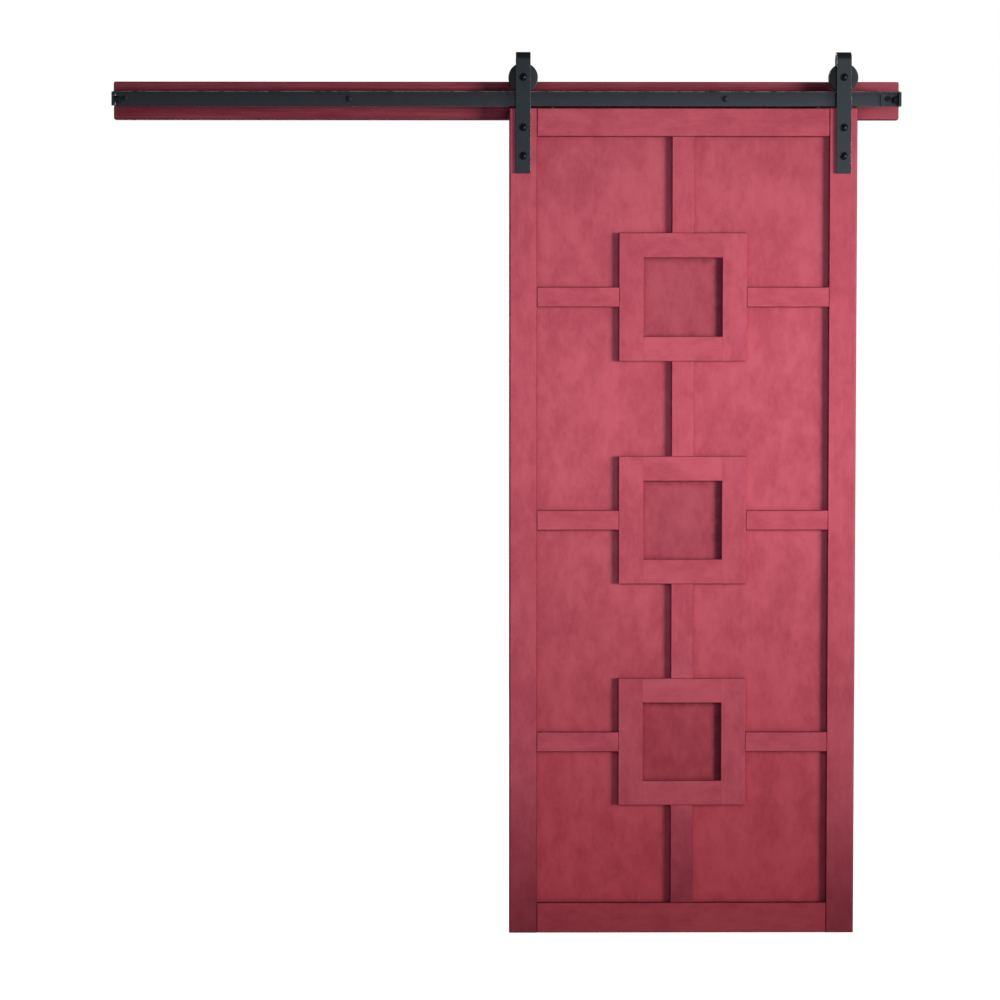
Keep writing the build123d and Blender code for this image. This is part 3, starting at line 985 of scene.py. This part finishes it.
@dataclass
class HangerStrap(Assembly):
    """A flat bar bent over its wheel, with a long leg in front and a short one behind."""

    side: str
    corner_round: float = 3.0 * MM
    edge_round: float = 0.5 * MM
    thickness: float = 6.0 * MM
    back_reach: float = 20.0 * MM
    bend_steps: int = 28
    sharp_angle: float = math.radians(50)

    def build(self) -> Item:
        """Models the strap.

        Returns:
            The strap, in place.
        """
        block = Block.of(f"{self.side}_hanger_strap")
        leg_end = Block.of(f"{self.side}_wheel").centre.z - self.back_reach
        bend_height = block.high.z - block.size.y / 2
        leg_length = bend_height - block.low.z
        pick()
        bpy.ops.mesh.primitive_cube_add(
            size=1,
            location=(block.centre.x, block.low.y + self.thickness / 2, block.low.z + leg_length / 2),
            scale=(block.size.x, self.thickness, leg_length),
        )
        strap = bpy.context.object
        strap.name = f"{self.side}_strap"
        bpy.ops.object.transform_apply(location=True, rotation=True, scale=True)
        bpy.ops.object.mode_set(mode="EDIT")
        select_parts(strap, "FACE", lambda face: face.normal.z > 0.9)
        middle = (block.centre.x, block.centre.y, bend_height)
        bpy.ops.mesh.spin(steps=self.bend_steps, angle=math.pi, center=middle, axis=(1, 0, 0))
        bpy.ops.mesh.extrude_region_move(TRANSFORM_OT_translate={"value": (0, 0, leg_end - bend_height)})
        self.round_ends(strap, block.low.z, leg_end)
        bpy.ops.object.mode_set(mode="OBJECT")
        clean_up(strap)
        bevel = strap.modifiers.new("eased edges", "BEVEL")
        bevel.width = self.edge_round
        bevel.segments = 3
        bevel.limit_method = "ANGLE"
        bevel.angle_limit = self.sharp_angle
        pick(strap)
        bpy.ops.object.modifier_apply(modifier=bevel.name)
        bpy.ops.object.shade_smooth_by_angle(angle=SMOOTH_ANGLE)
        return strap

    def round_ends(self, strap: Item, *ends: float) -> None:
        """Rounds the corners of both legs' ends.

        Args:
            strap: the strap, in edit mode.
            ends: the heights at which the legs end.
        """

        def at_an_end(edge: bmesh.types.BMEdge) -> bool:
            """True for a short edge through the bar's thickness at a leg's end."""
            first, second = (vert.co for vert in edge.verts)
            through = abs(first.y - second.y) > 0.9 * self.thickness
            return through and any(max(abs(first.z - end), abs(second.z - end)) < 1e-5 for end in ends)

        select_parts(strap, "EDGE", at_an_end)
        bpy.ops.mesh.bevel(offset=self.corner_round, segments=6, affect="EDGES")

    def dress(self) -> None:
        """Coats the strap."""
        settle(self.build(), "door", self.finishes.hanger, f"{self.side}_hanger_strap")


@dataclass
class DomedBolts(Assembly):
    """Bolts with smooth domed heads, through the straps."""

    shank_radius: float = 4.95 * MM
    head_radius: float = 10.3 * MM
    head_height: float = 5.0 * MM
    head_inset: float = 9.8 * MM
    button_radius: float = 6.9 * MM
    flange_depth: float = 1.3 * MM

    def build(self, name: str, length: float) -> Item:
        """Models one bolt along Z, with its head at the bottom and its head's top at height 0.

        Args:
            name: the bolt's name.
            length: its whole length.

        Returns:
            The bolt.
        """
        foot = self.head_height - self.flange_depth
        outline = [(0.2 * MM, 0.0)] + dome(self.button_radius, foot, -foot)[-2::-1]
        outline += [
            (self.button_radius, foot),
            (self.button_radius + 0.4 * MM, foot + 0.3 * MM),
            (self.head_radius - 1.1 * MM, foot - 0.3 * MM),
        ]
        outline += rounded_corner(self.head_radius, foot - 0.2 * MM, 0.8 * MM, -0.8 * MM)[::-1]
        outline += rounded_corner(self.head_radius, self.head_height, 0.4 * MM, 0.4 * MM)
        outline += [(self.shank_radius, self.head_height), (self.shank_radius, length - 1.0 * MM)]
        outline += [(self.shank_radius - 1.0 * MM, length)]
        return draw_round(name, outline, FINE_SEGMENTS)

    def dress(self) -> None:
        """Sets the axle bolts and the hanger bolts in their places."""
        for node, places in (("axle_bolts", self.axle_places()), ("hanger_bolts", self.hanger_places())):
            block = Block.of(node)
            spots = [Vector((x, block.low.y, z)) for x, z in places]
            first = place(self.build(node + "_1", block.size.y), Axis.INTO_WALL, spots[0])
            row = repeated(node + "_domed", first, [spot - spots[0] for spot in spots[1:]])
            settle(row, "door", self.finishes.fastener, node)

    def axle_places(self) -> list[Span]:
        """The wheels' centres as (x, z)."""
        middles = [Block.of(f"{side}_wheel").centre for side in SIDES]
        return [(middle.x, middle.z) for middle in middles]

    def hanger_places(self) -> list[Span]:
        """The centres of the bolts through the leaf as (x, z)."""
        block, inset = Block.of("hanger_bolts"), self.head_inset
        heights = (block.low.z + inset, block.high.z - inset)
        return [(x, z) for x in (block.low.x + inset, block.high.x - inset) for z in heights]


@dataclass
class GroovedWheel(Assembly):
    """A wheel turned with a groove that straddles the rail."""

    side: str
    flange_height: float = 4.5 * MM
    flange_round: float = 1.2 * MM
    groove_width: float = 8.0 * MM
    mouth_width: float = 13.0 * MM
    hub_radius: float = 17.0 * MM
    hub_rise: float = 1.0 * MM
    seat_radius: float = 15.0 * MM
    lip_radius: float = 13.5 * MM
    small_round: float = 0.5 * MM

    def build(self) -> Item:
        """Models the wheel.

        Returns:
            The wheel, in place.
        """
        block = Block.of(f"{self.side}_wheel")
        radius, half = block.size.x / 2, block.size.y / 2
        flat = half - self.hub_rise
        rolling = radius - self.flange_height
        mouth, root, ease = self.mouth_width / 2, self.groove_width / 2, self.small_round
        near = [(self.lip_radius, -half), (self.hub_radius - ease, -half)]
        near += [(self.hub_radius, -half + ease / 2), (self.hub_radius + self.hub_rise, -flat)]
        near += reversed(rounded_corner(radius, -flat, self.flange_round, -self.flange_round))
        near += [(radius, -mouth - ease), (radius - ease / 2, -mouth + ease / 2)]
        near += [(rolling + ease, -root - ease / 3), (rolling, -root + ease)]
        far = [(r, -y) for r, y in reversed(near)]
        seat = -Block.of(f"{self.side}_bearing_outer_ring").size.y / 2
        bore = [(self.seat_radius, half), (self.seat_radius, seat), (self.lip_radius, seat)]
        wheel = draw_round(f"{self.side}_grooved_wheel", near + far[:-1] + bore, FINE_SEGMENTS, ring=True)
        return place(wheel, Axis.INTO_WALL, block.centre)

    def dress(self) -> None:
        """Coats the wheel and gives its bearing its steel."""
        wheel = f"{self.side}_wheel"
        settle(self.build(), wheel, self.finishes.wheel, wheel)
        paint_node(f"{self.side}_bearing_outer_ring", self.finishes.bearing)
        paint_node(f"{self.side}_bearing_balls", self.finishes.bearing)


def lag_places() -> tuple[list[float], list[float]]:
    """Where the lag bolts stand along the rail.

    Returns:
        The two through the stops, and the three between.
    """
    spacers, washers = Block.of("rail_spacers"), Block.of("lag_washers")
    inset, inner = spacers.size.z / 2, washers.size.z / 2
    ends = [spacers.low.x + inset, spacers.high.x - inset]
    return ends, [washers.low.x + inner, MIDDLE_BOLT_X, washers.high.x - inner]


@dataclass
class LagBolts(Assembly):
    """Hex-headed lag bolts with a coarse thread, which end in the wall's studs."""

    shank_radius: float = 4.0 * MM
    thread_depth: float = 0.7 * MM
    head_radius: float = 6.5 * MM
    head_height: float = 5.3 * MM
    head_ease: float = 0.7 * MM
    point_length: float = 9.0 * MM
    thread_length: float = 37.0 * MM
    pitch: float = 3.0 * MM

    def build(self, name: str, length: float) -> Item:
        """Models one lag bolt along Z, with its head at the bottom.

        Args:
            name: the bolt's name.
            length: its whole length.

        Returns:
            The bolt.
        """
        corner = self.head_radius / math.cos(math.pi / 6)
        ease = self.head_ease
        outline = [(corner - 2 * ease, 0), (corner - 0.2 * ease, ease), (corner, 2 * ease)]
        head = draw_round(name + "_head", outline + [(corner, self.head_height)], segments=6)
        core = self.shank_radius - self.thread_depth
        start = length - self.point_length - self.thread_length
        outline = [(self.shank_radius, self.head_height - 0.1 * MM), (self.shank_radius, start)]
        outline += [(core, start + 1.0 * MM), (core, length - self.point_length), (0.3 * MM, length)]
        shank = draw_round(name + "_shank", outline, segments=32)
        turns = int(self.thread_length / self.pitch)
        ridge = thread_ridge(name + "_thread", core, self.pitch, start + 1.0 * MM, turns)
        return joined(name, [head, shank, ridge])

    def dress(self) -> None:
        """Sets the five bolts and their washers."""
        block, washers = Block.of("lag_bolts"), Block.of("lag_washers")
        ends, inner = lag_places()
        bolts = []
        for n, x in enumerate(ends + inner, 1):
            front = block.low.y if x in ends else washers.low.y - self.head_height
            bolt = self.build(f"lag_bolt_{n}", block.high.y - front)
            bolts.append(place(bolt, Axis.INTO_WALL, Vector((x, front, 0))))
        row = joined("threaded_lag_bolts", bolts)
        settle(row, "track", self.finishes.lag, "lag_bolts")
        paint_node("lag_washers", self.finishes.lag)


@dataclass
class Rail(Assembly):
    """The flat rail with its spacers."""

    edge_round: float = 2.0 * MM
    end_inset: float = 0.5 * MM
    spacer_bore: float = 4.5 * MM
    spacer_ease: float = 0.8 * MM

    def build_rail(self) -> Item:
        """Models the rail as a bar with eased edges.

        Returns:
            The rail, in place.
        """
        block = Block.of("track_rail")
        pick()
        bpy.ops.mesh.primitive_cube_add(size=1, location=block.centre, scale=block.size)
        rail = bpy.context.object
        rail.name = "flat_rail"
        bpy.ops.object.transform_apply(location=True, rotation=True, scale=True)
        bpy.ops.object.mode_set(mode="EDIT")
        half = block.size.x / 2
        select_parts(rail, "EDGE", lambda edge: abs(edge.verts[0].co.x - edge.verts[1].co.x) > half)
        bpy.ops.mesh.bevel(offset=self.edge_round, segments=5, affect="EDGES")
        select_parts(rail, "FACE", lambda face: abs(face.normal.x) > 0.9)
        bpy.ops.mesh.inset(thickness=self.end_inset)
        bpy.ops.object.mode_set(mode="OBJECT")
        clean_up(rail)
        return rail

    def build_spacers(self) -> Item:
        """Models the spacer tubes, with chamfered ends.

        Returns:
            The spacers as one object, in place.
        """
        block = Block.of("rail_spacers")
        radius, length, ease = block.size.z / 2, block.size.y, self.spacer_ease
        outline = [(self.spacer_bore, 0), (radius - ease, 0), (radius, ease), (radius, length - ease)]
        outline += [(radius - ease, length), (self.spacer_bore, length)]
        ends, inner = lag_places()
        spacer = draw_round("spacer", outline, ring=True)
        first = place(spacer, Axis.INTO_WALL, Vector((ends[0], block.low.y, 0)))
        shifts = [Vector((x - ends[0], 0, 0)) for x in inner + ends[1:]]
        return repeated("turned_spacers", first, shifts)

    def dress(self) -> None:
        """Coats the rail and its spacers."""
        settle(self.build_rail(), "track", self.finishes.rail, "track_rail")
        settle(self.build_spacers(), "track", self.finishes.hanger, "rail_spacers")


@dataclass
class EndStops(Assembly):
    """The folded brackets with their rubber bumpers."""

    rib_depth: float = 0.7 * MM
    rib_half: float = 0.9 * MM
    rib_shares: Span = (0.28, 0.55)
    edge_round: float = 2.0 * MM
    dimple_depth: float = 0.8 * MM

    def build_bumper(self, side: str) -> Item:
        """Models a bumper with two moulded grooves and a dimpled face.

        Args:
            side: left or right.

        Returns:
            The bumper, in place.
        """
        block = Block.of(f"{side}_stop_bumper")
        radius, length = block.size.z / 2, block.size.x
        outline = [(radius, 0)]
        for share in self.rib_shares:
            groove = length * share
            outline += [(radius, groove - self.rib_half), (radius - self.rib_depth, groove)]
            outline += [(radius, groove + self.rib_half)]
        outline += rounded_corner(radius, length, self.edge_round, self.edge_round)
        outline += [(radius * 0.5, length), (radius * 0.4, length - self.dimple_depth)]
        bumper = draw_round(f"{side}_rubber_bumper", outline + [(0.4 * MM, length - 1.0 * MM)])
        right = side == "right"
        axis = Axis.TO_THE_LEFT if right else Axis.TO_THE_RIGHT
        foot = block.high.x if right else block.low.x
        return place(bumper, axis, Vector((foot, block.centre.y, block.centre.z)))

    def dress(self) -> None:
        """Coats the brackets and sets the bumpers."""
        for side in SIDES:
            node = f"{side}_stop_bumper"
            settle(self.build_bumper(side), "track", self.finishes.rubber, node)
            paint_node(f"{side}_stop_bracket", self.finishes.hanger)
        paint_node("bumper_screws", self.finishes.fastener)


@dataclass
class SmallSteel(Assembly):
    """The fasteners, rings and discs that keep their CAD shapes."""

    blackened: tuple[str, ...] = (
        "anti_jump_discs",
        "axle_nuts",
        "axle_washers",
        "axle_sleeves",
        "hanger_nuts",
        "hanger_washers",
        "anti_jump_screws",
    )

    def dress(self) -> None:
        """Coats each node."""
        for node in self.blackened:
            paint_node(node, self.finishes.fastener)
        paint_node("bearing_inner_rings", self.finishes.bearing)


def seen_rays(sheet: Sheet) -> tuple[Socket, Socket]:
    """The masks of the rays that see the surroundings.

    Args:
        sheet: the node tree in which they are used.

    Returns:
        The mask of the camera's and the transmitted rays, and the mask of these and the reflections.
    """
    path = sheet.add("ShaderNodeLightPath").outputs
    direct = sheet.math("MAXIMUM", path["Is Camera Ray"], path["Is Transmission Ray"])
    return direct, sheet.math("MAXIMUM", direct, path["Is Glossy Ray"])


@dataclass
class Studio:
    """The camera, the lamps, the pale floor and the white world."""

    eye: Triple = (-0.0581, -6.8017, -0.7489)
    pitch_down: float = 2.410
    turn_right: float = 0.3462
    focal_pixels: float = 2606.4
    image_pixels: float = 1000.0
    sensor: float = 36.0
    pool_centre: Triple = (0.80, -0.07, -0.74)
    key_power: float = 2700.0
    key_shade: Triple = (1.0, 0.985, 0.97)
    key_distance: float = 6.0
    key_angle: float = 33.0
    key_cone: float = 33.0
    key_radius: float = 1.2
    fill_at: Triple = (0.35, -1.65, -0.60)
    fill_power: float = 10.0
    fill_shade: Triple = (0.70, 0.86, 1.0)
    fill_width: float = 0.8
    back_at: Triple = (-1.8, 4.2, 0.2)
    back_aim: Triple = (0.2, 0.0, -0.9)
    back_power: float = 150.0
    back_shade: Triple = (1.0, 0.99, 0.97)
    back_width: float = 3.0
    ambient: float = 0.3
    ambient_shade: Triple = (0.66, 0.80, 1.0)
    ceiling: float = 0.12
    ceiling_span: Span = (0.05, 0.5)
    dim_side: float = 0.24
    dim_side_span: Span = (-0.02, 0.28)
    floor_drop: float = 12.0 * MM
    floor_size: float = 30.0
    floor_glow: Span = (0.9, 1.0)
    floor_glow_span: Span = (2.5, 4.5)
    floor_dim_span: Span = (-1.5, 2.5)

    def set_camera(self) -> None:
        """Puts the camera where the photograph was taken from."""
        data = bpy.data.cameras.new("camera")
        data.sensor_width = self.sensor
        data.lens = self.focal_pixels / self.image_pixels * self.sensor
        data.clip_end = 60.0
        camera = bpy.data.objects.new("camera", data)
        camera.location = self.eye
        camera.rotation_euler = (math.radians(90 - self.pitch_down), 0.0, math.radians(-self.turn_right))
        bpy.context.scene.collection.objects.link(camera)
        bpy.context.scene.camera = camera

    def add_lamp(
        self, name: str, at: Vector, aim: Vector, power: float, shade: Triple, width: float = 0.0
    ) -> Item:
        """Adds a lamp that faces a point.

        Args:
            name: the lamp's name.
            at: where it stands.
            aim: the point that it faces.
            power: its power in watts.
            shade: its colour.
            width: the side of a square lamp; without it the lamp is the key's spot.

        Returns:
            The lamp.
        """
        data = bpy.data.lights.new(name, "AREA" if width else "SPOT")
        data.energy = power
        data.color = shade
        if width:
            data.shape = "RECTANGLE"
            data.size = data.size_y = width
        else:
            data.spot_size = math.radians(self.key_cone)
            data.spot_blend = 1.0
            data.shadow_soft_size = self.key_radius
        lamp = bpy.data.objects.new(name, data)
        lamp.location = at
        lamp.rotation_euler = (aim - at).to_track_quat("-Z", "Y").to_euler()
        bpy.context.scene.collection.objects.link(lamp)
        return lamp

    def light(self) -> None:
        """Lights the door with a soft spot from the far right, a near pool in front and a lamp behind."""
        aim = Vector(self.pool_centre)
        angle = math.radians(self.key_angle)
        reach = Vector((math.cos(angle), -math.sin(angle), 0)) * self.key_distance
        self.add_lamp("key", aim + reach, aim, self.key_power, self.key_shade)
        at = Vector(self.fill_at)
        aim = Vector((at.x, 0.0, at.z))
        fill = self.add_lamp("fill", at, aim, self.fill_power, self.fill_shade, self.fill_width)
        fill.visible_glossy = False
        at, aim = Vector(self.back_at), Vector(self.back_aim)
        self.add_lamp("back", at, aim, self.back_power, self.back_shade, self.back_width)

    def set_world(self) -> None:
        """Makes the world white to what sees it and a weak cool light to the rest, both dim overhead."""
        world = bpy.data.worlds.new("studio")
        bpy.context.scene.world = world
        sheet = emptied(world)
        direct, seen = seen_rays(sheet)
        direction = sheet.add("ShaderNodeTexCoord").outputs["Generated"]
        overhead = sheet.ease(sheet.part(direction, "Z"), *self.ceiling_span, (1.0, self.ceiling))
        aside = sheet.ease(sheet.part(direction, "X"), *self.dim_side_span, (self.dim_side, 1.0))
        weak = sheet.times(overhead, self.ambient)
        backdrop = sheet.math("MAXIMUM", direct, sheet.times(overhead, aside))
        cool = sheet.add("ShaderNodeBackground", {"Color": colour(*self.ambient_shade), "Strength": weak})
        white = sheet.add("ShaderNodeBackground", {"Color": colour(1, 1, 1), "Strength": backdrop})
        mixed = sheet.add("ShaderNodeMixShader", {0: seen, 1: cool.outputs[0], 2: white.outputs[0]})
        sheet.add("ShaderNodeOutputWorld", {0: mixed.outputs[0]})

    def lay_floor(self) -> None:
        """Lays the pale floor just under the leaf; it keeps a faint shadow."""
        pick()
        ground = cad_box[0][2] - self.floor_drop
        bpy.ops.mesh.primitive_plane_add(size=self.floor_size, location=(0, 0, ground))
        floor = bpy.context.object
        floor.name = "floor"
        bpy.ops.object.transform_apply(location=True, rotation=True, scale=True)
        material = bpy.data.materials.new("pale floor")
        sheet = emptied(material)
        plain = sheet.add("ShaderNodeBsdfDiffuse", {"Color": colour(0.8, 0.8, 0.8)})
        where = sheet.add("ShaderNodeTexCoord").outputs["Object"]
        away = sheet.add("ShaderNodeVectorMath", {0: where}, operation="LENGTH").outputs["Value"]
        level = sheet.ease(away, *self.floor_glow_span, self.floor_glow)
        direct, seen = seen_rays(sheet)
        camera = sheet.add("ShaderNodeLightPath").outputs["Is Camera Ray"]
        shine = sheet.math("MAXIMUM", camera, sheet.ease(sheet.part(where, "X"), *self.floor_dim_span))
        strength = sheet.times(level, shine)
        glow = sheet.add("ShaderNodeEmission", {"Color": colour(1, 1, 1), "Strength": strength})
        both = sheet.add("ShaderNodeAddShader", {0: plain.outputs[0], 1: glow.outputs[0]})
        mixed = sheet.add("ShaderNodeMixShader", {0: seen, 1: plain.outputs[0], 2: both.outputs[0]})
        sheet.add("ShaderNodeOutputMaterial", {0: mixed.outputs[0]})
        floor.data.materials.append(material)

    def build(self) -> None:
        """Sets up the whole studio."""
        self.set_camera()
        self.light()
        self.set_world()
        self.lay_floor()
        bpy.context.scene.view_settings.view_transform = "Standard"


def main() -> None:
    """Builds the studio and every piece, and reports each one."""
    logging.basicConfig(level=logging.INFO, format="%(message)s")
    Studio().build()
    finishes = Finishes()
    for assembly in (Leaf, Header, Rail):
        assembly(finishes).dress()
    for side in SIDES:
        HangerStrap(finishes, side).dress()
        GroovedWheel(finishes, side).dress()
    for assembly in (DomedBolts, LagBolts, EndStops, SmallSteel):
        assembly(finishes).dress()


if __name__ == "__main__":
    main()
